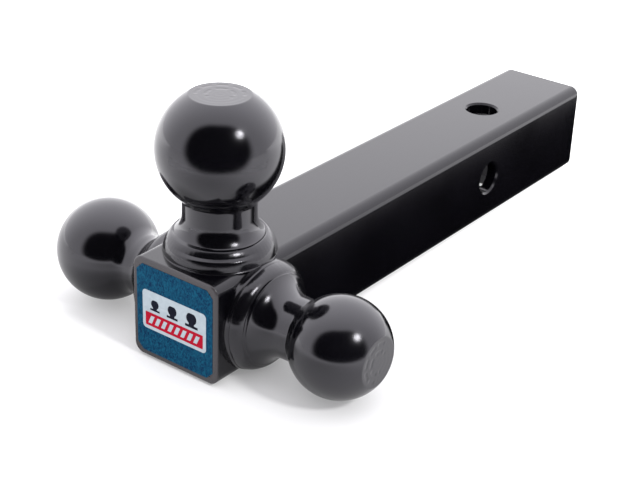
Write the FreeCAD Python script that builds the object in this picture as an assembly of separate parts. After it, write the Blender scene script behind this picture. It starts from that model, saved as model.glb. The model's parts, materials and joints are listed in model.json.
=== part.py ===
import FreeCAD, Part
import math
import os

# Three-ball trailer hitch mount: a hollow square shank, closed at its front end, with a
# ball welded to the top and to both sides of that end.
#
# Row frame, millimetres: the origin is the centre of the vertical hitch-pin hole on the
# shank's centreline. +Y runs along the shank into the receiver, +Z is up and +X is the
# side of the smallest ball. The closed front end, with its label, faces -Y.

V = FreeCAD.Vector
X_AXIS = V(1, 0, 0)
Z_AXIS = V(0, 0, 1)

# ---- Shank: 2 inch square tube, 1/4 inch wall ---------------------------------------
TUBE_SIDE = 50.8
TUBE_WALL = 6.35
TUBE_OUTER_CORNER = 5.0
TUBE_INNER_CORNER = 1.5
FRONT_TO_PIN = 258.5
PIN_TO_REAR = 68.5
FRONT_EDGE_ROUND = 1.2
REAR_EDGE_BREAK = 0.8

# ---- Hitch-pin holes, for a 5/8 inch pin ---------------------------------------------
PIN_HOLE_RADIUS = 8.75
PIN_HOLE_CHAMFER = 1.0
CROSS_PIN_Y = -29.5

# ---- Closed front end ----------------------------------------------------------------
END_PLATE_THICKNESS = 6.35
END_PLATE_BEVEL = 2.5
LABEL_WIDTH = 45.6
LABEL_HEIGHT = 45.0
LABEL_CORNER_CUT = 3.4
LABEL_THICKNESS = 0.25
BADGE_WIDTH = 38.4
BADGE_HEIGHT = 20.0
BADGE_CORNER = 2.0
BAND_WIDTH = 34.8
BAND_HEIGHT = 7.0
BAND_CORNER = 0.4
BAND_DROP = 4.7
PRINT_THICKNESS = 0.15

# ---- Balls: trade diameters in inches ------------------------------------------------
INCH = 25.4
BALL_AXIS_FROM_FRONT = 30.8
SPIGOT_RADIUS = 12.7
SPIGOT_REACH = TUBE_WALL + 1.4
SPIGOT_CHAMFER = 1.0
LIP_DEPTH = 0.4
FOOT_CHAMFER = 0.6

# Each ball: diameter, height of its centre over the tube face, radius of the flat on its
# crown, neck radius, radius of the fillet between neck and ball, radius of the flare's
# curve, (radius, height) of the flare's lip, of the weld's crest beside it, of the valley
# between the weld's two passes and of the weld's toe, and the side of the tube that the
# ball stands on.
BALLS = {
    "top": {
        "diameter": (2 + 5 / 16) * INCH, "centre": 49.45,
        "flat": 14.2, "neck": 17.3, "fillet": 2.5, "flare": 11.5,
        "lip": (21.0, 9.0), "crest": (22.3, 8.9), "valley": (25.0, 5.1), "toe": (26.3, 0),
        "axis": Z_AXIS,
    },
    "left": {
        "diameter": 2 * INCH, "centre": 46.5,
        "flat": 12.8, "neck": 14.8, "fillet": 8.0, "flare": 12.0,
        "lip": (21.2, 9.0), "crest": (22.3, 8.3), "valley": (24.9, 4.6), "toe": (25.9, 0),
        "axis": -X_AXIS,
    },
    "right": {
        "diameter": (1 + 7 / 8) * INCH, "centre": 45.2,
        "flat": 12.0, "neck": 15.2, "fillet": 2.5, "flare": 13.0,
        "lip": (22.1, 8.9), "crest": (22.8, 7.1), "valley": (25.7, 2.2), "toe": (26.2, 0),
        "axis": X_AXIS,
    },
}

# ---- Weld round each foot: a lower pass on the tube and an upper pass against the foot --
LOWER_PASS_BULGE = 0.3
UPPER_PASS_BULGE = 0.85
WELD_SKIRT_DEPTH = 3.4
WELD_SKIRT_INSET = 1.6
GROOVE_DEPTH = 1.0

FRONT_Y = -FRONT_TO_PIN
REAR_Y = PIN_TO_REAR
TUBE_HALF = TUBE_SIDE / 2
BORE_HALF = TUBE_HALF - TUBE_WALL
BALL_AXIS_Y = FRONT_Y + BALL_AXIS_FROM_FRONT
LABEL_Y = FRONT_Y - LABEL_THICKNESS
BADGE_Y = LABEL_Y - PRINT_THICKNESS
BAND_Y = BADGE_Y - PRINT_THICKNESS


def rounded_bar(width, height, corner, y_start, length):
    """Solid bar along Y with rounded long edges, centred on the shank's axis."""
    bar = Part.makeBox(width, length, height, V(-width / 2, y_start, -height / 2))
    long_edges = [edge for edge in bar.Edges if abs(edge.tangentAt(edge.FirstParameter).y) > 0.99]
    return bar.makeFillet(corner, long_edges)


def tube_blank():
    """Outside of the shank as one solid bar, which the welds are cut back to."""
    return rounded_bar(TUBE_SIDE, TUBE_SIDE, TUBE_OUTER_CORNER, FRONT_Y, REAR_Y - FRONT_Y)


def pin_cutter(axis, y):
    """Through hole along axis, with a chamfer at each outer face."""
    reach = TUBE_HALF + 1
    mouth = PIN_HOLE_RADIUS + PIN_HOLE_CHAMFER
    profile = [
        (0, -reach), (mouth + 1, -reach), (mouth, -TUBE_HALF),
        (PIN_HOLE_RADIUS, -TUBE_HALF + PIN_HOLE_CHAMFER),
        (PIN_HOLE_RADIUS, TUBE_HALF - PIN_HOLE_CHAMFER),
        (mouth, TUBE_HALF), (mouth + 1, reach), (0, reach),
    ]
    points = [V(radius, 0, height) for radius, height in profile]
    face = Part.Face(Part.makePolygon(points + points[:1]))
    cutter = face.revolve(V(0, 0, 0), Z_AXIS, 360)
    return stand_on(cutter, axis, V(0, y, 0))


def stand_on(shape, axis, foot):
    """Turns a shape built along +Z so that it stands along axis with its origin at foot."""
    turned = shape.copy()
    turned.Placement = FreeCAD.Placement(foot, FreeCAD.Rotation(Z_AXIS, axis))
    return turned


def tube_face_centre(axis):
    """Where a ball's axis crosses the outer face of the tube."""
    return V(0, BALL_AXIS_Y, 0) + axis * TUBE_HALF


def shank_tube():
    """Square tube with the two crossing hitch-pin holes and a hole for each ball's spigot."""
    tube = tube_blank()
    front_rim = [edge for edge in tube.Edges if edge.BoundBox.YMax < FRONT_Y + 0.01]
    tube = tube.makeFillet(FRONT_EDGE_ROUND, front_rim)
    rear_rim = [edge for edge in tube.Edges if edge.BoundBox.YMin > REAR_Y - 0.01]
    tube = tube.makeChamfer(REAR_EDGE_BREAK, rear_rim)
    bore_length = REAR_Y - FRONT_Y + 2
    bore = rounded_bar(2 * BORE_HALF, 2 * BORE_HALF, TUBE_INNER_CORNER, FRONT_Y - 1, bore_length)
    tube = tube.cut(bore)
    tube = tube.cut(pin_cutter(Z_AXIS, 0))
    tube = tube.cut(pin_cutter(X_AXIS, CROSS_PIN_Y))
    for ball in BALLS.values():
        seat = Part.makeCylinder(SPIGOT_RADIUS, TUBE_WALL + 2, V(0, 0, -TUBE_WALL - 1))
        tube = tube.cut(stand_on(seat, ball["axis"], tube_face_centre(ball["axis"])))
    return tube.cut(square_frustum(BORE_HALF + END_PLATE_BEVEL, BORE_HALF))


def square_frustum(front_half, root_half):
    """Block behind the front face that tapers from one half width to the other."""
    front = square_wire(front_half, FRONT_Y)
    root = square_wire(root_half, FRONT_Y + END_PLATE_BEVEL)
    return Part.makeLoft([front, root], True, True)


def square_wire(half, y):
    """Closed square in the XZ plane at y along the shank."""
    corners = [V(-half, y, -half), V(half, y, -half), V(half, y, half), V(-half, y, half)]
    return Part.makePolygon(corners + corners[:1])


def front_end_plate():
    """Plate set into the tube's mouth, flush with its end, with a bevelled front edge."""
    side = 2 * BORE_HALF
    plate = rounded_bar(side, side, TUBE_INNER_CORNER, FRONT_Y, END_PLATE_THICKNESS)
    bevel_root = FRONT_Y + END_PLATE_BEVEL
    rear_part = Part.makeBox(side, END_PLATE_THICKNESS, side, V(-BORE_HALF, bevel_root, -BORE_HALF))
    front_part = square_frustum(BORE_HALF - END_PLATE_BEVEL, BORE_HALF)
    return plate.common(front_part.fuse(rear_part))


def front_end_weld(tube, plate):
    """Weld that fills the bevel between plate and tube, ground flush with the end."""
    return square_frustum(BORE_HALF + END_PLATE_BEVEL, BORE_HALF).cut(plate).cut(tube)


def on_profile(radius, height):
    """Point of a profile that is turned about Z."""
    return V(radius, 0, height)


def bend(start, end, centre):
    """Arc edge of less than half a turn from start to end about centre."""
    outward = (start - centre) + (end - centre)
    outward.normalize()
    middle = centre + outward * start.distanceToPoint(centre)
    return Part.Arc(start, middle, end).toShape()


def bulged(start, end, bulge):
    """Arc edge from start up to end whose middle stands out from the chord by bulge."""
    chord = end - start
    outward = V(chord.z, 0, -chord.x)
    outward.normalize()
    return Part.Arc(start, (start + end) * 0.5 + outward * bulge, end).toShape()


def outline(points):
    """Straight edges that join the points in turn."""
    return [Part.LineSegment(a, b).toShape() for a, b in zip(points, points[1:])]


def turned_on_tube(edges, axis):
    """Solid of revolution of a closed profile, standing on the tube along axis."""
    face = Part.Face(Part.Wire(edges))
    turned = face.revolve(V(0, 0, 0), Z_AXIS, 360)
    return stand_on(turned, axis, tube_face_centre(axis))


def foot_radius(ball):
    """Radius of the plain foot under the flare's lip."""
    return ball["lip"][0] - LIP_DEPTH


def ball_forging(ball):
    """One turned piece: flat-crowned ball, neck, flare with a lip, foot and spigot."""
    radius = ball["diameter"] / 2
    centre = on_profile(0, ball["centre"])
    neck = ball["neck"]
    fillet = ball["fillet"]
    foot = foot_radius(ball)
    crown = ball["centre"] + math.sqrt(radius ** 2 - ball["flat"] ** 2)

    # A fillet rolls between the neck and the underside of the ball.
    reach = radius + fillet
    fillet_drop = math.sqrt(reach ** 2 - (neck + fillet) ** 2)
    fillet_centre = on_profile(neck + fillet, ball["centre"] - fillet_drop)
    neck_top = on_profile(neck, fillet_centre.z)
    underside = centre + (fillet_centre - centre) * (radius / reach)

    # The flare's curve leaves the neck straight and ends at the lip.
    lip = on_profile(*ball["lip"])
    flare_drop = math.sqrt(ball["flare"] ** 2 - (neck + ball["flare"] - lip.x) ** 2)
    flare_centre = on_profile(neck + ball["flare"], lip.z + flare_drop)
    neck_foot = on_profile(neck, flare_centre.z)

    crown_edge = on_profile(ball["flat"], crown)
    equator = on_profile(radius, ball["centre"])
    edges = outline([
        crown_edge,
        on_profile(0, crown),
        on_profile(0, -SPIGOT_REACH),
        on_profile(SPIGOT_RADIUS - SPIGOT_CHAMFER, -SPIGOT_REACH),
        on_profile(SPIGOT_RADIUS, -SPIGOT_REACH + SPIGOT_CHAMFER),
        on_profile(SPIGOT_RADIUS, 0),
        on_profile(foot - FOOT_CHAMFER, 0),
        on_profile(foot, FOOT_CHAMFER),
        on_profile(foot, lip.z - LIP_DEPTH),
        lip,
    ])
    edges.append(bend(lip, neck_foot, flare_centre))
    edges += outline([neck_foot, neck_top])
    edges.append(bend(neck_top, underside, fillet_centre))
    edges.append(Part.Arc(underside, equator, crown_edge).toShape())
    return turned_on_tube(edges, ball["axis"])


def lower_weld(ball):
    """Weld pass that joins the foot to the tube; its skirt runs down over the tube's corners."""
    foot = foot_radius(ball)
    toe = on_profile(*ball["toe"])
    valley = on_profile(*ball["valley"])
    edges = outline([
        valley,
        on_profile(foot, valley.z),
        on_profile(foot, FOOT_CHAMFER),
        on_profile(foot - FOOT_CHAMFER, 0),
        on_profile(foot - FOOT_CHAMFER, -WELD_SKIRT_DEPTH),
        on_profile(toe.x - WELD_SKIRT_INSET, -WELD_SKIRT_DEPTH),
        toe,
    ])
    edges.append(bulged(toe, valley, LOWER_PASS_BULGE))
    return turned_on_tube(edges, ball["axis"]).cut(tube_blank())


def upper_weld(ball):
    """Weld pass laid on the lower one, up to a narrow groove under the flare's lip."""
    foot = foot_radius(ball)
    valley = on_profile(*ball["valley"])
    crest = on_profile(*ball["crest"])
    edges = outline([crest, on_profile(foot, crest.z - GROOVE_DEPTH), on_profile(foot, valley.z), valley])
    edges.append(bulged(valley, crest, UPPER_PASS_BULGE))
    return turned_on_tube(edges, ball["axis"])


def front_label():
    """Vinyl label with cut corners on the closed front end."""
    half_w = LABEL_WIDTH / 2
    half_h = LABEL_HEIGHT / 2
    film = Part.makeBox(LABEL_WIDTH, LABEL_THICKNESS, LABEL_HEIGHT, V(-half_w, LABEL_Y, -half_h))
    corner_edges = [edge for edge in film.Edges if edge.BoundBox.YLength > LABEL_THICKNESS / 2]
    return film.makeChamfer(LABEL_CORNER_CUT, corner_edges)


def printed_panel(width, height, corner, z_centre, y_front):
    """Thin raised panel of the label, with rounded corners."""
    panel = rounded_bar(width, height, corner, y_front, PRINT_THICKNESS)
    panel.translate(V(0, 0, z_centre))
    return panel


def build_nodes():
    """Every sub-part of the hitch mount, by node name."""
    tube = shank_tube()
    plate = front_end_plate()
    nodes = {
        "shank_tube": tube,
        "front_end_plate": plate,
        "front_end_weld": front_end_weld(tube, plate),
        "front_label": front_label(),
        "label_badge": printed_panel(BADGE_WIDTH, BADGE_HEIGHT, BADGE_CORNER, 0, BADGE_Y),
        "label_red_band": printed_panel(BAND_WIDTH, BAND_HEIGHT, BAND_CORNER, -BAND_DROP, BAND_Y),
    }
    top_weld = lower_weld(BALLS["top"])
    for side, ball in BALLS.items():
        nodes[f"{side}_ball"] = ball_forging(ball)
        nodes[f"{side}_upper_weld"] = upper_weld(ball)
        if side == "top":
            nodes[f"{side}_lower_weld"] = top_weld
        else:
            nodes[f"{side}_lower_weld"] = lower_weld(ball).cut(top_weld)
    return nodes


os.makedirs("parts", exist_ok=True)
for name, shape in build_nodes().items():
    shape.exportStep(f"parts/{name}.step")
    volume = shape.Volume / 1000
    print(f"{name:18s} solids {len(shape.Solids)}  volume {volume:8.2f} cm3  valid {shape.isValid()}")
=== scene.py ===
import json
import math

import bpy
from mathutils import Matrix, Vector, noise


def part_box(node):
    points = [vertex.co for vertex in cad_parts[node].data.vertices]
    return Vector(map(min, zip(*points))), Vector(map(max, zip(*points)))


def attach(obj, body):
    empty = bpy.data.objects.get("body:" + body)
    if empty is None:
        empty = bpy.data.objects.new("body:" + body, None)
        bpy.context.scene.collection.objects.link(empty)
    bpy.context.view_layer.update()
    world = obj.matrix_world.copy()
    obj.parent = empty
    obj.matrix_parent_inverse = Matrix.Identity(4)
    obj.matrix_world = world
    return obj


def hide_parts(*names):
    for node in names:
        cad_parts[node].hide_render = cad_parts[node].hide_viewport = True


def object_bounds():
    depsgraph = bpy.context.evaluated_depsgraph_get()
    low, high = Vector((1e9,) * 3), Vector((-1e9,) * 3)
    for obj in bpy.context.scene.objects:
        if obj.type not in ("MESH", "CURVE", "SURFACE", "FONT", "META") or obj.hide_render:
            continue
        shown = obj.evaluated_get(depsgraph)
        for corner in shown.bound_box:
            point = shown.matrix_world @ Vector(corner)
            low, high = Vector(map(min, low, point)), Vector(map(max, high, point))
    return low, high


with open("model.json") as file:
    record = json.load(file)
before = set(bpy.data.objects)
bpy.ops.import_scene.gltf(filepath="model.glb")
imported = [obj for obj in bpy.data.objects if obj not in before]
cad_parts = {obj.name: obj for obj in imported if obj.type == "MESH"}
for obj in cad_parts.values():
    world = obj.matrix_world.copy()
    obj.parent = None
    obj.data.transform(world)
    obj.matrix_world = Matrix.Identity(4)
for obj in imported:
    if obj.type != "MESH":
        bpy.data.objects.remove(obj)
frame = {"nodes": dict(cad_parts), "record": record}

# Three-ball trailer hitch mount. Everything is in metres, in the CAD frame: +Y runs along
# the shank into the receiver, +Z is up, and the closed end with its label faces -Y.

MM = 0.001
cad_box = [list(corner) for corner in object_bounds()]


# ---- Places taken from the frame -------------------------------------------------------

tube_low, tube_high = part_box("shank_tube")
TUBE_HALF = tube_high.x
FRONT_Y = tube_low.y
FLOOR_Z = min(cad_box[0][2], tube_low.z)
badge_low, badge_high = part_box("label_badge")
band_low, band_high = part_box("label_red_band")
mounts = {mount["name"]: mount for mount in frame["record"]["mounts"]}


def ball_centre(side):
    return Vector(mounts[side + "_ball_coupling"]["pos_m"])


BALL_AXIS_Y = ball_centre("top").y

# ---- Ball and weld sizes, in millimetres over the tube's face ---------------------------

INCH = 25.4
SPIGOT_RADIUS = 12.7
SPIGOT_REACH = 7.75
SPIGOT_CHAMFER = 1
CROWN_ROUND = 1.6
LIP_DEPTH = 0.4

# The lip's rounded edge from below, as (radius, height) from the lip, and the degrees of
# the flare's curve that it takes up.
LIP_EDGE = ((-0.08, -0.25), (0.02, -0.08), (-0.04, 0.1))
LIP_EDGE_TURN = 2.0

# Faint turned rings in each crown: half their depth, and radians of their wave in a
# millimetre.
TURNING_DEPTH = 0.007
TURNING_WAVE = 2.2

# Rings of arcs stamped in each crown: place of the ring as a part of the crown's radius,
# arcs in a full ring, and cosine of the bearing from mark_side where they stop.
STAMPED_RINGS = ((0.76, 9, -0.25), (0.44, 5, -0.6))

# The welds' changes round the foot. Swell and wander are slow, ripples are the bead's own.
SWELL_SCALE = 1.7
WANDER_SCALE = 2.9
RIPPLES = 64
CREST_SWELL = 0.2
CREST_THINNING = 0.4
TOE_SWELL = 0.25
TOE_THINNING = 0.7
FACE_WANDER = 0.15
RIPPLE_DEPTH = 0.010

# Inside of the welds: depth of the groove under the lip, reach of the lower pass into the
# foot, and its skirt over the tube's corners as (radius, height) from the toe.
GROOVE_DEPTH = 0.6
ROOT_REACH = 1.5
SKIRT_DEPTH = 3.4
SKIRT = ((0, -0.2), (-0.6, -1.2), (-1.7, -SKIRT_DEPTH))

# Line of a weld from its crest to its toe, first its upper pass and then its lower one:
# distance along it, and elevation in degrees of its outward normal, where the passes show
# and where they run together.
TWO_EVEN_PASSES = (
    ((0, 78, 78), (0.35, 49, 58), (1.6, 40, 48), (3.0, 31, 41), (3.5, 27, 38)),
    (
        (0, 50, 38), (0.3, 58, 37), (1.4, 58, 33), (1.9, 40, 30), (2.6, 18, 26),
        (4.2, 9, 16), (5.9, 5, 8), (6.4, 16, 12), (7.0, 60, 40),
    ),
)
BROAD_UPPER_PASS = (
    ((0, 80, 80), (0.6, 55, 58), (2.8, 33, 37), (4.6, 16, 24), (5.7, 7, 15)),
    ((0, 34, 15), (0.3, 38, 14), (0.7, 18, 12), (1.3, 8, 10), (2.0, 5, 8), (2.7, 12, 9)),
)

# radius, flat, neck, fillet and flare are the radii of the ball, its flat crown, its neck,
# the fillet between them and the flare's curve. lip and crest are (radius, height) of the
# flare's lip and of the weld's crest beside it; toe is the radius of the weld's outer edge
# on the tube, across it, and spread is how much further it reaches along the tube.
# Bearings are in degrees round the foot: thin_side is where the weld is leanest, mark_side
# where the crown's stamped arcs lie, seam_side where the two passes show as two, and
# cover_side where the weld covers the lip. seam_spread and cover_spread say how that
# fades, as cosines of the angle from the bearing.
BALLS = {
    "top": {
        "axis": Vector((0, 0, 1)), "seed": 1.3,
        "radius": (2 + 5 / 16) * INCH / 2, "flat": 14.2,
        "neck": 17.3, "fillet": 2.5, "flare": 11.5, "lip": (21.0, 9.0),
        "crest": (22.0, 8.9), "toe": 27.0, "spread": 0.0, "passes": TWO_EVEN_PASSES,
        "thin_side": 180, "seam_side": 306, "seam_spread": (0.55, 0.92),
        "cover_side": 269, "cover_spread": (0.62, 0.92),
        "mark_side": 125, "mark_depth": 0.08,
    },
    "left": {
        "axis": Vector((-1, 0, 0)), "seed": 5.4,
        "radius": 2 * INCH / 2, "flat": 12.8,
        "neck": 14.8, "fillet": 8.0, "flare": 12.0, "lip": (21.2, 9.0),
        "crest": (22.0, 8.6), "toe": 26.2, "spread": 0.6, "passes": TWO_EVEN_PASSES,
        "thin_side": 0, "seam_side": 300, "seam_spread": (-0.3, 0.5),
        "cover_side": 120, "cover_spread": (0.2, 0.9),
        "mark_side": 0, "mark_depth": 0.08,
    },
    "right": {
        "axis": Vector((1, 0, 0)), "seed": 9.5,
        "radius": (1 + 7 / 8) * INCH / 2, "flat": 12.0,
        "neck": 15.2, "fillet": 2.5, "flare": 13.0, "lip": (22.1, 8.9),
        "crest": (22.5, 8.4), "toe": 26.2, "spread": 1.2, "passes": BROAD_UPPER_PASS,
        "thin_side": 90, "seam_side": 250, "seam_spread": (-0.2, 0.6),
        "cover_side": 32, "cover_spread": (-0.97, -0.86),
        "mark_side": 250, "mark_depth": 0.13,
    },
}
BALL_SEGMENTS = 256
CROWN_RINGS = 44
WELD_SEGMENTS = 512


# ---- Mesh building ---------------------------------------------------------------------

def add_mesh(name, points, faces, sharp_angle=35):
    mesh = bpy.data.meshes.new(name)
    mesh.from_pydata(points, [], faces)
    mesh.validate()
    mesh.update()
    mesh.shade_smooth()
    mesh.set_sharp_from_angle(angle=math.radians(sharp_angle))
    piece = bpy.data.objects.new(name, mesh)
    bpy.context.scene.collection.objects.link(piece)
    return piece


def arc(centre, radius, start, end, steps):
    """Points of an arc in the profile plane, from angle start to end in degrees."""
    points = []
    for i in range(steps + 1):
        turn = math.radians(start + (end - start) * i / steps)
        points.append((centre[0] + radius * math.cos(turn), centre[1] + radius * math.sin(turn)))
    return points


def mix(a, b, t):
    return a + (b - a) * t


def smooth_step(low, high, value):
    t = min(max((value - low) / (high - low), 0), 1)
    return t * t * (3 - 2 * t)


def place_on_tube(axis):
    """Matrix that stands a shape built along +Z in millimetres on the tube along axis."""
    foot = Vector((0, BALL_AXIS_Y, 0)) + axis * TUBE_HALF
    turn = Vector((0, 0, 1)).rotation_difference(axis).to_matrix().to_4x4()
    return Matrix.Translation(foot) @ turn @ Matrix.Scale(MM, 4)


# ---- Balls -----------------------------------------------------------------------------

def flare_height(ball, radius):
    """Height of the flare's surface at a radius between its neck and its lip."""
    lip, lip_height = ball["lip"]
    flare = ball["flare"]
    centre = ball["neck"] + flare
    drop = math.sqrt(flare ** 2 - (centre - lip) ** 2)
    return lip_height + drop - math.sqrt(flare ** 2 - (centre - radius) ** 2)


def ball_profile(ball, centre):
    """Profile of a ball forging from the inner end of its spigot to its crown's edge."""
    radius = ball["radius"]
    neck = ball["neck"]
    flare = ball["flare"]
    fillet = ball["fillet"]
    lip, lip_height = ball["lip"]
    foot = lip - LIP_DEPTH

    flare_drop = math.sqrt(flare ** 2 - (neck + flare - lip) ** 2)
    flare_centre = (neck + flare, lip_height + flare_drop)
    lip_turn = math.degrees(math.atan2(-flare_drop, lip - flare_centre[0])) % 360

    fillet_drop = math.sqrt((radius + fillet) ** 2 - (neck + fillet) ** 2)
    fillet_centre = (neck + fillet, centre - fillet_drop)
    touch = math.degrees(math.atan2(fillet_drop, -(neck + fillet)))
    under_turn = math.degrees(math.atan2(-fillet_drop, neck + fillet))

    flat_height = centre + math.sqrt(radius ** 2 - ball["flat"] ** 2)
    round_height = flat_height - CROWN_ROUND
    round_axis = math.sqrt((radius - CROWN_ROUND) ** 2 - (round_height - centre) ** 2)
    crown_turn = math.degrees(math.atan2(round_height - centre, round_axis))

    profile = [(0, -SPIGOT_REACH), (SPIGOT_RADIUS - SPIGOT_CHAMFER, -SPIGOT_REACH)]
    profile += [(SPIGOT_RADIUS, SPIGOT_CHAMFER - SPIGOT_REACH), (SPIGOT_RADIUS, 0)]
    profile += [(foot, 0), (foot, lip_height - LIP_DEPTH - 0.1)]
    profile += [(lip + out, lip_height + up) for out, up in LIP_EDGE]
    profile += arc(flare_centre, flare, lip_turn - LIP_EDGE_TURN, 180, 22)
    profile += arc(fillet_centre, fillet, 180, touch, 10)
    profile += arc((0, centre), radius, under_turn, crown_turn, 84)[1:]
    profile += arc((round_axis, round_height), CROWN_ROUND, crown_turn, 90, 6)[1:]
    return profile


def crown_dip(ball, radius, turn):
    """Depth in millimetres of the turned rings and stamped arcs at a point of the crown."""
    edge = ball["flat"]
    bearing = turn - math.radians(ball["mark_side"])
    dip = TURNING_DEPTH * (1 - math.cos(radius * TURNING_WAVE)) * smooth_step(0, 2, radius)
    for ring_at, count, spread in STAMPED_RINGS:
        across = 1 - smooth_step(0.3, 1.3, abs(radius - ring_at * edge))
        beat = (bearing * count / (2 * math.pi) + 0.5) % 1
        along = 1 - smooth_step(0.26, 0.44, abs(beat - 0.5))
        used = smooth_step(spread - 0.15, spread + 0.15, math.cos(bearing))
        dip += ball["mark_depth"] * across * along * used
    return dip


def make_ball(side):
    """Closed surface of revolution, but for the marks stamped in its flat crown."""
    ball = BALLS[side]
    centre = (ball_centre(side) - Vector((0, BALL_AXIS_Y, 0))).length / MM - TUBE_HALF / MM
    place = place_on_tube(ball["axis"])
    profile = ball_profile(ball, centre)
    segments = BALL_SEGMENTS
    edge, top = profile[-1]
    rings = [(radius, height, False) for radius, height in profile if radius > 1e-6]
    rings += [(edge * (1 - i / CROWN_RINGS), top, True) for i in range(1, CROWN_RINGS)]

    points = [place @ Vector((0, 0, profile[0][1]))]
    for radius, height, on_crown in rings:
        for i in range(segments):
            turn = 2 * math.pi * i / segments
            z = height - crown_dip(ball, radius, turn) if on_crown else height
            points.append(place @ Vector((radius * math.cos(turn), radius * math.sin(turn), z)))
    points.append(place @ Vector((0, 0, top)))

    faces = []
    last = 1 + (len(rings) - 1) * segments
    for i in range(segments):
        j = (i + 1) % segments
        faces.append((0, 1 + j, 1 + i))
        for ring in range(len(rings) - 1):
            a = 1 + ring * segments
            b = a + segments
            faces.append((a + i, a + j, b + j, b + i))
        faces.append((last + i, last + j, len(points) - 1))
    return add_mesh(side + "_ball_gloss", points, faces)


# ---- Weld beads ------------------------------------------------------------------------

def pass_line(bends, seam, steps):
    """Points of one pass as (outward, down) from its start.

    bends are a pass's rows of distance and leans, and seam is 1 where both passes show and
    0 where they run together.
    """
    length = bends[-1][0]
    points = [(0.0, 0.0)]
    for i in range(steps):
        middle = length * (i + 0.5) / steps
        for (s0, *lean0), (s1, *lean1) in zip(bends, bends[1:]):
            if s0 <= middle <= s1:
                t = (middle - s0) / (s1 - s0)
                shown = mix(lean0[0], lean1[0], t)
                merged = mix(lean0[1], lean1[1], t)
        lean = math.radians(mix(merged, shown, seam))
        out, down = points[-1]
        points.append((
            out + math.sin(lean) * length / steps,
            down + math.cos(lean) * length / steps,
        ))
    return points


def weld_lines(ball, turn):
    """Both passes as fractions of the way out and down, from the crest to the toe."""
    seam = smooth_step(*ball["seam_spread"], math.cos(turn - math.radians(ball["seam_side"])))
    upper = pass_line(ball["passes"][0], seam, 20)
    start = upper[-1]
    lower = pass_line(ball["passes"][1], seam, 34)
    lower = [(start[0] + out, start[1] + down) for out, down in lower]
    end = lower[-1]
    return [[(out / end[0], down / end[1]) for out, down in line] for line in (upper, lower)]


def weld_faces(ball, turn):
    """Faces of both passes at one place round the foot, as (radius, height) points."""
    ring = Vector((math.cos(turn), math.sin(turn), ball["seed"]))
    swell = noise.noise(ring * SWELL_SCALE)
    wander = noise.noise(ring * WANDER_SCALE + Vector((7, 2, 5)))
    ripple = math.sin(RIPPLES * turn + 3 * wander)
    thin = smooth_step(0.0, 0.95, math.cos(turn - math.radians(ball["thin_side"])))
    crest_radius, crest_height = ball["crest"]
    limit = ball["toe"] + ball["spread"] * smooth_step(0.2, 0.75, abs(math.sin(turn)))
    toe = limit - TOE_THINNING * thin + TOE_SWELL * min(swell, 0)
    crest_height += CREST_SWELL * swell - CREST_THINNING * thin
    faces = []
    for line in weld_lines(ball, turn):
        face = []
        for out, down in line:
            hump = math.sin(math.pi * min(max(out, 0), 1))
            radius = mix(crest_radius, toe, out)
            radius = radius + hump * (FACE_WANDER * wander + RIPPLE_DEPTH * ripple)
            height = crest_height * (1 - down) + hump * FACE_WANDER * wander * (1 - down)
            face.append((min(radius, limit), height))
        faces.append(face)
    return faces


def lower_section(ball, turn):
    """Section of the lower pass at one place round the foot: a closed loop of points."""
    foot = ball["lip"][0] - LIP_DEPTH
    face = weld_faces(ball, turn)[1]
    toe = face[-1][0]
    section = [(foot - ROOT_REACH, face[0][1] - 0.6)] + face
    section += [(toe + out, up) for out, up in SKIRT]
    section.append((foot - ROOT_REACH, -SKIRT_DEPTH))
    return section


def upper_section(ball, turn):
    """Section of the upper pass at one place round the foot: a closed loop of points.

    Its inner edge lies in an open groove under the flare's lip, and covers the lip where
    the pass was laid higher.
    """
    lip, lip_height = ball["lip"]
    foot = lip - LIP_DEPTH
    face = weld_faces(ball, turn)[0]
    crest = face[0]
    end = face[-1]
    below = [(foot - 1.0, crest[1] - GROOVE_DEPTH - 0.3), (foot - 0.02, crest[1] - GROOVE_DEPTH)]
    below += [(lip + 0.05, crest[1] - 0.25), (lip + 0.22, crest[1] - 0.06)]
    edge = (lip - 0.4, flare_height(ball, lip - 0.4) + 0.03)
    above = [(lip - 1.5, lip_height - 0.5), (lip - 0.9, flare_height(ball, lip - 0.9) - 0.3)]
    above += [edge, (mix(edge[0], crest[0], 0.6), mix(edge[1], crest[1], 0.45))]
    cover = smooth_step(*ball["cover_spread"], math.cos(turn - math.radians(ball["cover_side"])))
    section = [(mix(a[0], b[0], cover), mix(a[1], b[1], cover)) for a, b in zip(below, above)]
    section += face + [(end[0] - 0.2, end[1] - 0.25), (foot - 1.0, end[1] - 0.9)]
    return section


def make_weld(side, layer, section_at):
    """Closed ring swept round the foot, with its section worked out at each step."""
    ball = BALLS[side]
    place = place_on_tube(ball["axis"])
    segments = WELD_SEGMENTS
    points = []
    for i in range(segments):
        turn = 2 * math.pi * i / segments
        for radius, height in section_at(ball, turn):
            points.append(place @ Vector((radius * math.cos(turn), radius * math.sin(turn), height)))
    size = len(points) // segments
    faces = []
    for i in range(segments):
        a = i * size
        b = ((i + 1) % segments) * size
        for k in range(size):
            n = (k + 1) % size
            faces.append((a + k, a + n, b + n, b + k))
    return add_mesh(f"{side}_{layer}_bead", points, faces, 50)


# ---- Label artwork ---------------------------------------------------------------------

def plate(name, outline, front_y, back_y):
    """Flat plate whose outline is (x, z) in metres, seen from -Y."""
    count = len(outline)
    points = [(x, front_y, z) for x, z in outline] + [(x, back_y, z) for x, z in outline]
    faces = [tuple(range(count)), tuple(range(2 * count - 1, count - 1, -1))]
    for i in range(count):
        j = (i + 1) % count
        faces.append((i, count + i, count + j, j))
    return add_mesh(name, points, faces)


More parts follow.
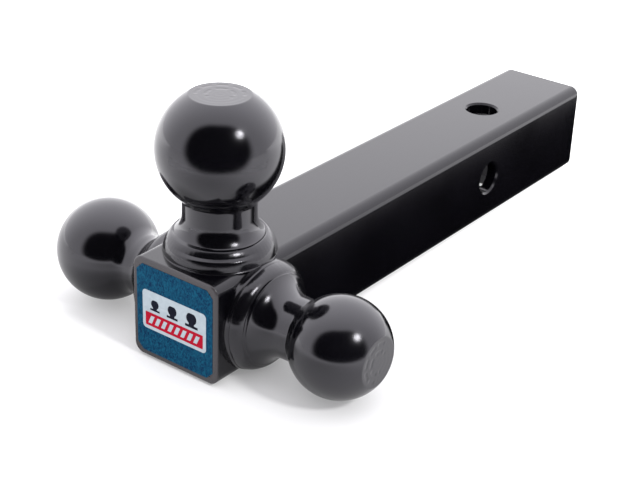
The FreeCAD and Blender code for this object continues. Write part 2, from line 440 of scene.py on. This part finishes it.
def rounded_rectangle(x_middle, z_middle, width, height, corner):
    points = []
    for x_side, z_side, start in ((1, 1, 0), (-1, 1, 90), (-1, -1, 180), (1, -1, 270)):
        centre = (
            x_middle + x_side * (width / 2 - corner),
            z_middle + z_side * (height / 2 - corner),
        )
        points += arc(centre, corner, start, start + 90, 6)
    return points


def ball_sign(x_middle, base_z, radius):
    """Outline of a plain tow ball with a flat top on a wide flange, in metres.

    Its parts are worked out for a ball of radius 1.
    """
    flange = 1.25
    flange_high = 0.42
    neck = 0.52
    neck_high = 0.28
    crown_turn = 62
    neck_drop = math.sqrt(1 - neck ** 2)
    centre = flange_high + neck_high + neck_drop
    low = math.degrees(math.atan2(-neck_drop, neck))
    right = [(flange, 0), (flange, flange_high), (neck, flange_high)]
    right += arc((0, centre), 1, low, crown_turn, 22)
    outline = right + [(-x, z) for x, z in reversed(right)]
    return [(x_middle + x * radius, base_z + z * radius) for x, z in outline]


# ---- Materials -------------------------------------------------------------------------

def material(name):
    """A new material, with its nodes, its links and its Principled shader."""
    made = bpy.data.materials.new(name)
    made.use_nodes = True
    nodes = made.node_tree.nodes
    return made, nodes, made.node_tree.links, nodes["Principled BSDF"]


def noise_node(nodes, links, vector, scale, detail):
    made = nodes.new("ShaderNodeTexNoise")
    made.inputs["Scale"].default_value = scale
    made.inputs["Detail"].default_value = detail
    links.new(vector, made.inputs["Vector"])
    return made


def range_node(nodes, links, value, source, result):
    """Value mapped from its source range to the result range, and clamped there."""
    made = nodes.new("ShaderNodeMapRange")
    made.inputs["From Min"].default_value, made.inputs["From Max"].default_value = source
    made.inputs["To Min"].default_value, made.inputs["To Max"].default_value = result
    links.new(value, made.inputs["Value"])
    return made


def ramp_node(nodes, links, value, low, high):
    """Ramp between two colours, each given as (position, colour)."""
    made = nodes.new("ShaderNodeValToRGB")
    for element, (position, colour) in zip(made.color_ramp.elements, (low, high)):
        element.position = position
        element.color = (*colour, 1)
    links.new(value, made.inputs["Fac"])
    return made


def bump_node(nodes, links, height, depth, shader):
    """Relief of a shader's surface from a height between 0 and 1, depth in metres."""
    made = nodes.new("ShaderNodeBump")
    made.inputs["Strength"].default_value = 1.0
    made.inputs["Distance"].default_value = depth
    links.new(height, made.inputs["Height"])
    links.new(made.outputs["Normal"], shader.inputs["Normal"])


COAT_TINT = (0.95, 0.935, 1, 1)
CLOUD_SCALE = 22
# Paler coat for the tube's front rim: partly worn coat, partly a painted highlight of its lit edge.
WORN_AND_LIT_RIM_COAT = (0.5, 0.47, 0.48, 1)
RIM_INNER_EDGE = FRONT_Y + 1.4 * MM
RIM_OUTER_EDGE = FRONT_Y + 0.2 * MM


def black_coat(name, colour, ior, roughness, peel_size, peel_depth, pale_rim=0):
    """Gloss black coat with a fine orange peel and slight changes of tint and gloss.

    pale_rim is how much paler the coat is on the front rim of the tube: partly worn coat, partly a
    painted highlight of its lit edge.
    """
    made, nodes, links, shader = material(name)
    shader.inputs["IOR"].default_value = ior
    shader.inputs["Specular Tint"].default_value = COAT_TINT
    place = nodes.new("ShaderNodeTexCoord").outputs["Object"]

    cloud = noise_node(nodes, links, place, CLOUD_SCALE, 4).outputs["Fac"]
    darker = [c * 0.7 for c in colour]
    lighter = [c * 1.5 for c in colour]
    tint = ramp_node(nodes, links, cloud, (0.3, darker), (0.75, lighter))

    place_axes = nodes.new("ShaderNodeSeparateXYZ")
    links.new(place, place_axes.inputs["Vector"])
    # The front rim is made paler: partly wear, partly a painted highlight.
    rim_range = (RIM_INNER_EDGE, RIM_OUTER_EDGE)
    rim = range_node(nodes, links, place_axes.outputs["Y"], rim_range, (0, pale_rim))
    worn_and_lit = nodes.new("ShaderNodeMix")
    worn_and_lit.data_type = "RGBA"
    links.new(rim.outputs["Result"], worn_and_lit.inputs["Factor"])
    links.new(tint.outputs["Color"], worn_and_lit.inputs["A"])
    worn_and_lit.inputs["B"].default_value = WORN_AND_LIT_RIM_COAT
    links.new(worn_and_lit.outputs["Result"], shader.inputs["Base Color"])

    gloss_range = (roughness * 0.85, roughness * 1.2)
    gloss = range_node(nodes, links, cloud, (0.3, 0.7), gloss_range)
    links.new(gloss.outputs["Result"], shader.inputs["Roughness"])

    peel = noise_node(nodes, links, place, 1 / peel_size, 2)
    bump_node(nodes, links, peel.outputs["Fac"], peel_depth, shader)
    return made


FILM_SPECULAR = 0.05
FILM_ROUGHNESS = 0.4
FILM_ROUGHNESS_CHANGE = 0.08
FILM_TOOTH_SCALE = 2600
FILM_TOOTH_DEPTH = 0.000004
GRAIN_TURN = 28
GRAIN_DISTORTION = 1.6


def printed_film(name, dark, light, grain, stretch, contrast):
    """Printed vinyl: two close inks in a fine broken grain, on a film with a slight tooth."""
    made, nodes, links, shader = material(name)
    shader.inputs["Specular IOR Level"].default_value = FILM_SPECULAR
    place = nodes.new("ShaderNodeTexCoord").outputs["Object"]
    spread = nodes.new("ShaderNodeMapping")
    spread.inputs["Scale"].default_value = (stretch, 1, 1)
    spread.inputs["Rotation"].default_value = (0, math.radians(GRAIN_TURN), 0)
    links.new(place, spread.inputs["Vector"])

    flecks = noise_node(nodes, links, spread.outputs["Vector"], 1 / grain, 3)
    flecks.inputs["Distortion"].default_value = GRAIN_DISTORTION
    fleck = flecks.outputs["Fac"]
    tint = ramp_node(nodes, links, fleck, (0.5 - contrast, dark), (0.5 + contrast, light))
    links.new(tint.outputs["Color"], shader.inputs["Base Color"])

    gloss_range = (FILM_ROUGHNESS - FILM_ROUGHNESS_CHANGE, FILM_ROUGHNESS + FILM_ROUGHNESS_CHANGE)
    gloss = range_node(nodes, links, fleck, (0, 1), gloss_range)
    links.new(gloss.outputs["Result"], shader.inputs["Roughness"])

    tooth = noise_node(nodes, links, place, FILM_TOOTH_SCALE, 2)
    bump_node(nodes, links, tooth.outputs["Fac"], FILM_TOOTH_DEPTH, shader)
    return made


def give(piece, made):
    piece.data.materials.clear()
    piece.data.materials.append(made)


BLACK = (0.0013, 0.0012, 0.0020)
finishes = {
    "shank_coat": black_coat("shank_coat", BLACK, 1.52, 0.16, 0.0018, 0.0000030, 0.09),
    "ball_coat": black_coat("ball_coat", BLACK, 1.76, 0.13, 0.0020, 0.0000010),
    "weld_coat": black_coat("weld_coat", BLACK, 1.70, 0.17, 0.0015, 0.0000020),
    "label_blue": printed_film(
        "label_blue", (0.0, 0.018, 0.060), (0.004, 0.084, 0.152), 0.0021, 1.7, 0.16
    ),
    # The white film is greyed well below white vinyl: painted shade of the tube's front face.
    "label_white": printed_film(
        "label_white", (0.36, 0.42, 0.46), (0.45, 0.51, 0.55), 0.004, 1, 0.3
    ),
    "label_red": printed_film(
        "label_red", (0.32, 0.002, 0.014), (0.43, 0.006, 0.028), 0.0022, 2.2, 0.25
    ),
    "label_ink": printed_film(
        "label_ink", (0.003, 0.004, 0.010), (0.010, 0.012, 0.024), 0.002, 1, 0.3
    ),
}


def finish_piece(piece, slot, *replaced):
    """Material, body and slot of a piece, and the CAD nodes that it stands for."""
    give(piece, finishes[slot])
    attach(piece, "root")
    if replaced:
        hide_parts(*replaced)


# ---- Pieces ----------------------------------------------------------------------------

FILM = 0.05 * MM
BAND_CORNER = 0.4 * MM
SIGN_GAP = 1.5 * MM

# Place of each sign along the badge, and radius of its ball, in millimetres.
SIGNS = ((-11.6, 2.3), (-1.0, 2.65), (10.6, 3.0))

# Bars of the red band: their number, the band's length left free of them, their half width
# and half height as parts of a bar's pitch and of the band's height, and their slant.
BARS = 8
BARS_MARGIN = 3.4 * MM
BAR_HALF_WIDTH = 0.27
BAR_HALF_HEIGHT = 0.29
BAR_SLANT = 0.9 * MM


def make_label_art():
    """Signs on the badge, and a red band with a row of pale slanted bars."""
    badge_x = (badge_low.x + badge_high.x) / 2
    base_z = band_high.z + SIGN_GAP
    for number, (x, radius) in enumerate(SIGNS):
        outline = ball_sign(badge_x + x * MM, base_z, radius * MM)
        piece = plate(f"badge_sign_{number + 1}", outline, badge_low.y - FILM, badge_low.y)
        finish_piece(piece, "label_ink")

    width = band_high.x - band_low.x
    height = band_high.z - band_low.z
    middle_x = (band_low.x + band_high.x) / 2
    middle_z = (band_low.z + band_high.z) / 2
    outline = rounded_rectangle(middle_x, middle_z, width, height, BAND_CORNER)
    band = plate("red_band_film", outline, band_low.y + FILM, band_high.y)
    finish_piece(band, "label_red", "label_red_band")

    pitch = (width - BARS_MARGIN) / BARS
    half_w = BAR_HALF_WIDTH * pitch
    half_h = BAR_HALF_HEIGHT * height
    for number in range(BARS):
        x = middle_x + (number - (BARS - 1) / 2) * pitch
        outline = [
            (x - half_w - BAR_SLANT, middle_z - half_h),
            (x + half_w - BAR_SLANT, middle_z - half_h),
            (x + half_w + BAR_SLANT, middle_z + half_h),
            (x - half_w + BAR_SLANT, middle_z + half_h),
        ]
        piece = plate(f"band_bar_{number + 1}", outline, band_low.y, band_low.y + FILM)
        finish_piece(piece, "label_white")


for node in ("shank_tube", "front_end_plate"):
    give(frame["nodes"][node], finishes["shank_coat"])
give(frame["nodes"]["front_end_weld"], finishes["weld_coat"])
give(frame["nodes"]["front_label"], finishes["label_blue"])
give(frame["nodes"]["label_badge"], finishes["label_white"])

for side in BALLS:
    finish_piece(make_ball(side), "ball_coat", side + "_ball")
    finish_piece(make_weld(side, "lower", lower_section), "weld_coat", side + "_lower_weld")
    finish_piece(make_weld(side, "upper", upper_section), "weld_coat", side + "_upper_weld")
make_label_art()


# ---- Floor, light and camera ------------------------------------------------------------

CAMERA_AZIMUTH = 36.47
CAMERA_ELEVATION = 27.12
CAMERA_ROLL = 2.28
CAMERA_PLACE = Vector((0.3894, FRONT_Y - 0.4187, 0.3347))
CAMERA_LENS = 81.96
CAMERA_SENSOR = 36


def camera_frame(azimuth, elevation, roll):
    """Right, up and back directions of a camera, from angles in degrees."""
    az, el, turn = (math.radians(v) for v in (azimuth, elevation, roll))
    back = Vector((math.sin(az) * math.cos(el), -math.cos(az) * math.cos(el), math.sin(el)))
    right = Vector((math.cos(az), math.sin(az), 0))
    up = back.cross(right)
    return (
        right * math.cos(turn) + up * math.sin(turn),
        up * math.cos(turn) - right * math.sin(turn),
        back,
    )


def make_camera():
    data = bpy.data.cameras.new("camera")
    data.sensor_width = CAMERA_SENSOR
    data.lens = CAMERA_LENS
    data.clip_start = 0.01
    camera = bpy.data.objects.new("camera", data)
    bpy.context.scene.collection.objects.link(camera)
    right, up, back = camera_frame(CAMERA_AZIMUTH, CAMERA_ELEVATION, CAMERA_ROLL)
    turn = Matrix((right, up, back)).transposed().to_4x4()
    camera.matrix_world = Matrix.Translation(CAMERA_PLACE) @ turn
    bpy.context.scene.camera = camera


# Directions away from the camera's side of the room, level and rising.
AWAY = (-0.594, 0.804, 0)
AWAY_AND_UP = (-0.529, 0.716, 0.456)


def distance_along(nodes, links, place, direction):
    """Distance of a place along a direction, as an output."""
    made = nodes.new("ShaderNodeVectorMath")
    made.operation = "DOT_PRODUCT"
    made.inputs[1].default_value = direction
    links.new(place, made.inputs[0])
    return made.outputs["Value"]


def make_floor():
    """White paper sweep that glows a little more behind the object."""
    size = 12
    corners = [(-size, -size), (size, -size), (size, size), (-size, size)]
    floor = add_mesh("floor", [(x, y, FLOOR_Z) for x, y in corners], [(0, 1, 2, 3)])
    made, nodes, links, shader = material("floor_paper")
    shader.inputs["Base Color"].default_value = (0.60, 0.60, 0.60, 1)
    shader.inputs["Roughness"].default_value = 0.9
    shader.inputs["Specular IOR Level"].default_value = 0.1
    shader.inputs["Emission Color"].default_value = (1, 1, 1, 1)
    place = nodes.new("ShaderNodeTexCoord").outputs["Object"]
    behind = distance_along(nodes, links, place, AWAY)
    glow = range_node(nodes, links, behind, (-0.2, 0.3), (0.2, 1.3))
    links.new(glow.outputs["Result"], shader.inputs["Emission Strength"])
    give(floor, made)


def make_world():
    """Pale studio, brighter behind and above the object than in front of it."""
    world = bpy.data.worlds.new("studio")
    world.use_nodes = True
    nodes = world.node_tree.nodes
    links = world.node_tree.links
    place = nodes.new("ShaderNodeTexCoord").outputs["Generated"]
    behind = distance_along(nodes, links, place, AWAY_AND_UP)
    glow = range_node(nodes, links, behind, (-0.1, 1.0), (1.3, 2.25))
    glow.interpolation_type = "SMOOTHSTEP"
    links.new(glow.outputs["Result"], nodes["Background"].inputs["Strength"])
    nodes["Background"].inputs["Color"].default_value = (0.975, 0.965, 1, 1)
    bpy.context.scene.world = world


def dark_card(name, points, faces, shades):
    """Black card of the studio, solid where its shade is 1, which only reflections see."""
    card = add_mesh(name, points, faces)
    layer = card.data.attributes.new("shade", "FLOAT", "POINT")
    layer.data.foreach_set("value", shades)
    made, nodes, links, shader = material(name + "_dark_sheet")
    shader.inputs["Base Color"].default_value = (0.004, 0.004, 0.004, 1)
    shader.inputs["Roughness"].default_value = 1
    shader.inputs["Specular IOR Level"].default_value = 0
    shade = nodes.new("ShaderNodeAttribute")
    shade.attribute_name = "shade"
    links.new(shade.outputs["Fac"], shader.inputs["Alpha"])
    give(card, made)
    card.visible_camera = False
    card.visible_shadow = False
    card.visible_diffuse = False


def grid_faces(rows, columns):
    faces = []
    for i in range(rows - 1):
        for j in range(columns - 1):
            a = i * columns + j
            faces.append((a, a + columns, a + columns + 1, a + 1))
    return faces


# The dark opening, in degrees as the top ball sees it: its middle, half its width and
# height, the power that rounds its corners, and the part of its size over which it fades.
OPENING_AZIMUTH = 37
OPENING_ELEVATION = 21
OPENING_HALF_WIDTH = 62
OPENING_HALF_HEIGHT = 42
OPENING_POWER = 2.6
OPENING_FADE = (0.86, 1.1)


def make_dark_opening():
    """Dark side of the room behind the camera, from the near edge of the paper upward.

    The card rises gently from the paper at first, and stands upright further out.
    """
    eye = ball_centre("top")
    outline = [(0.21 + 0.05 * k, FLOOR_Z + 0.02 + 0.006 * k) for k in range(11)]
    outline += [(0.71, FLOOR_Z + 0.08 + 0.045 * k) for k in range(1, 40)]
    turns = [OPENING_AZIMUTH - 90 + 3 * k for k in range(61)]
    points = []
    shades = []
    for turn in turns:
        for distance, height in outline:
            a = math.radians(turn)
            point = Vector((math.sin(a) * distance, BALL_AXIS_Y - math.cos(a) * distance, height))
            elevation = math.degrees(math.atan2(height - eye.z, distance))
            across = abs(turn - OPENING_AZIMUTH) / OPENING_HALF_WIDTH
            rise = abs(elevation - OPENING_ELEVATION) / OPENING_HALF_HEIGHT
            spread = (across ** OPENING_POWER + rise ** OPENING_POWER) ** (1 / OPENING_POWER)
            points.append(point)
            shades.append(1 - smooth_step(*OPENING_FADE, spread))
    dark_card("dark_opening", points, grid_faces(len(turns), len(outline)), shades)


def round_shade(x, y, centre_x, centre_y, radius, depth):
    """Shade that fades from depth at its centre to nothing at its radius."""
    return depth * (1 - smooth_step(0, radius, math.hypot(x - centre_x, y - centre_y)))


def make_floor_card():
    """Sheet on the floor that only reflections see: a painted dark reflection beside the shank, and
    a faint painted shade under the balls.
    """
    step = 0.01
    xs = [-0.34 + step * k for k in range(69)]
    ys = [BALL_AXIS_Y - 0.34 + step * k for k in range(88)]
    points = [(x, y, FLOOR_Z + 0.0005) for x in xs for y in ys]
    shades = []
    for x in xs:
        # beside paints a dark reflection of the floor next to the shank; front and left paint shade
        # under the balls, seen only in reflections.
        beside = smooth_step(0.012, 0.022, x) * (1 - smooth_step(0.085, 0.097, x))
        for y in ys:
            along = smooth_step(FRONT_Y + 0.050, FRONT_Y + 0.075, y)
            along *= 1 - smooth_step(0.2, 0.26, y)
            front = round_shade(x, y, 0.06, BALL_AXIS_Y - 0.13, 0.26, 0.45)
            left = round_shade(x, y, -0.045, BALL_AXIS_Y - 0.03, 0.11, 0.65)
            shades.append(max(beside * along, front, left))
    dark_card("floor_card", points, grid_faces(len(xs), len(ys)), shades)


# As seen from the balls, the lamp is LAMP_SWING degrees to the right of and above LAMP_AIM,
# which is an azimuth and an elevation in degrees.
LAMP_AIM = (36.5, 21)
LAMP_SWING = 46
LAMP_DISTANCE = 2.0
LAMP_SIZE = 0.30
LAMP_ENERGY = 22.0


def make_key_light():
    data = bpy.data.lights.new("small_lamp", "AREA")
    data.shape = "DISK"
    data.size = LAMP_SIZE
    data.energy = LAMP_ENERGY
    lamp = bpy.data.objects.new("small_lamp", data)
    bpy.context.scene.collection.objects.link(lamp)
    right, up, back = camera_frame(*LAMP_AIM, 0)
    swing = math.radians(LAMP_SWING)
    way = back * math.cos(swing) + (right * 0.8 + up * 0.6) * math.sin(swing)
    lamp.location = Vector((0, BALL_AXIS_Y, 0.05)) + way * LAMP_DISTANCE
    lamp.rotation_euler = way.to_track_quat("Z", "Y").to_euler()


make_floor()
make_world()
make_dark_opening()
make_floor_card()
make_key_light()
make_camera()
bpy.context.scene.view_settings.view_transform = "Standard"
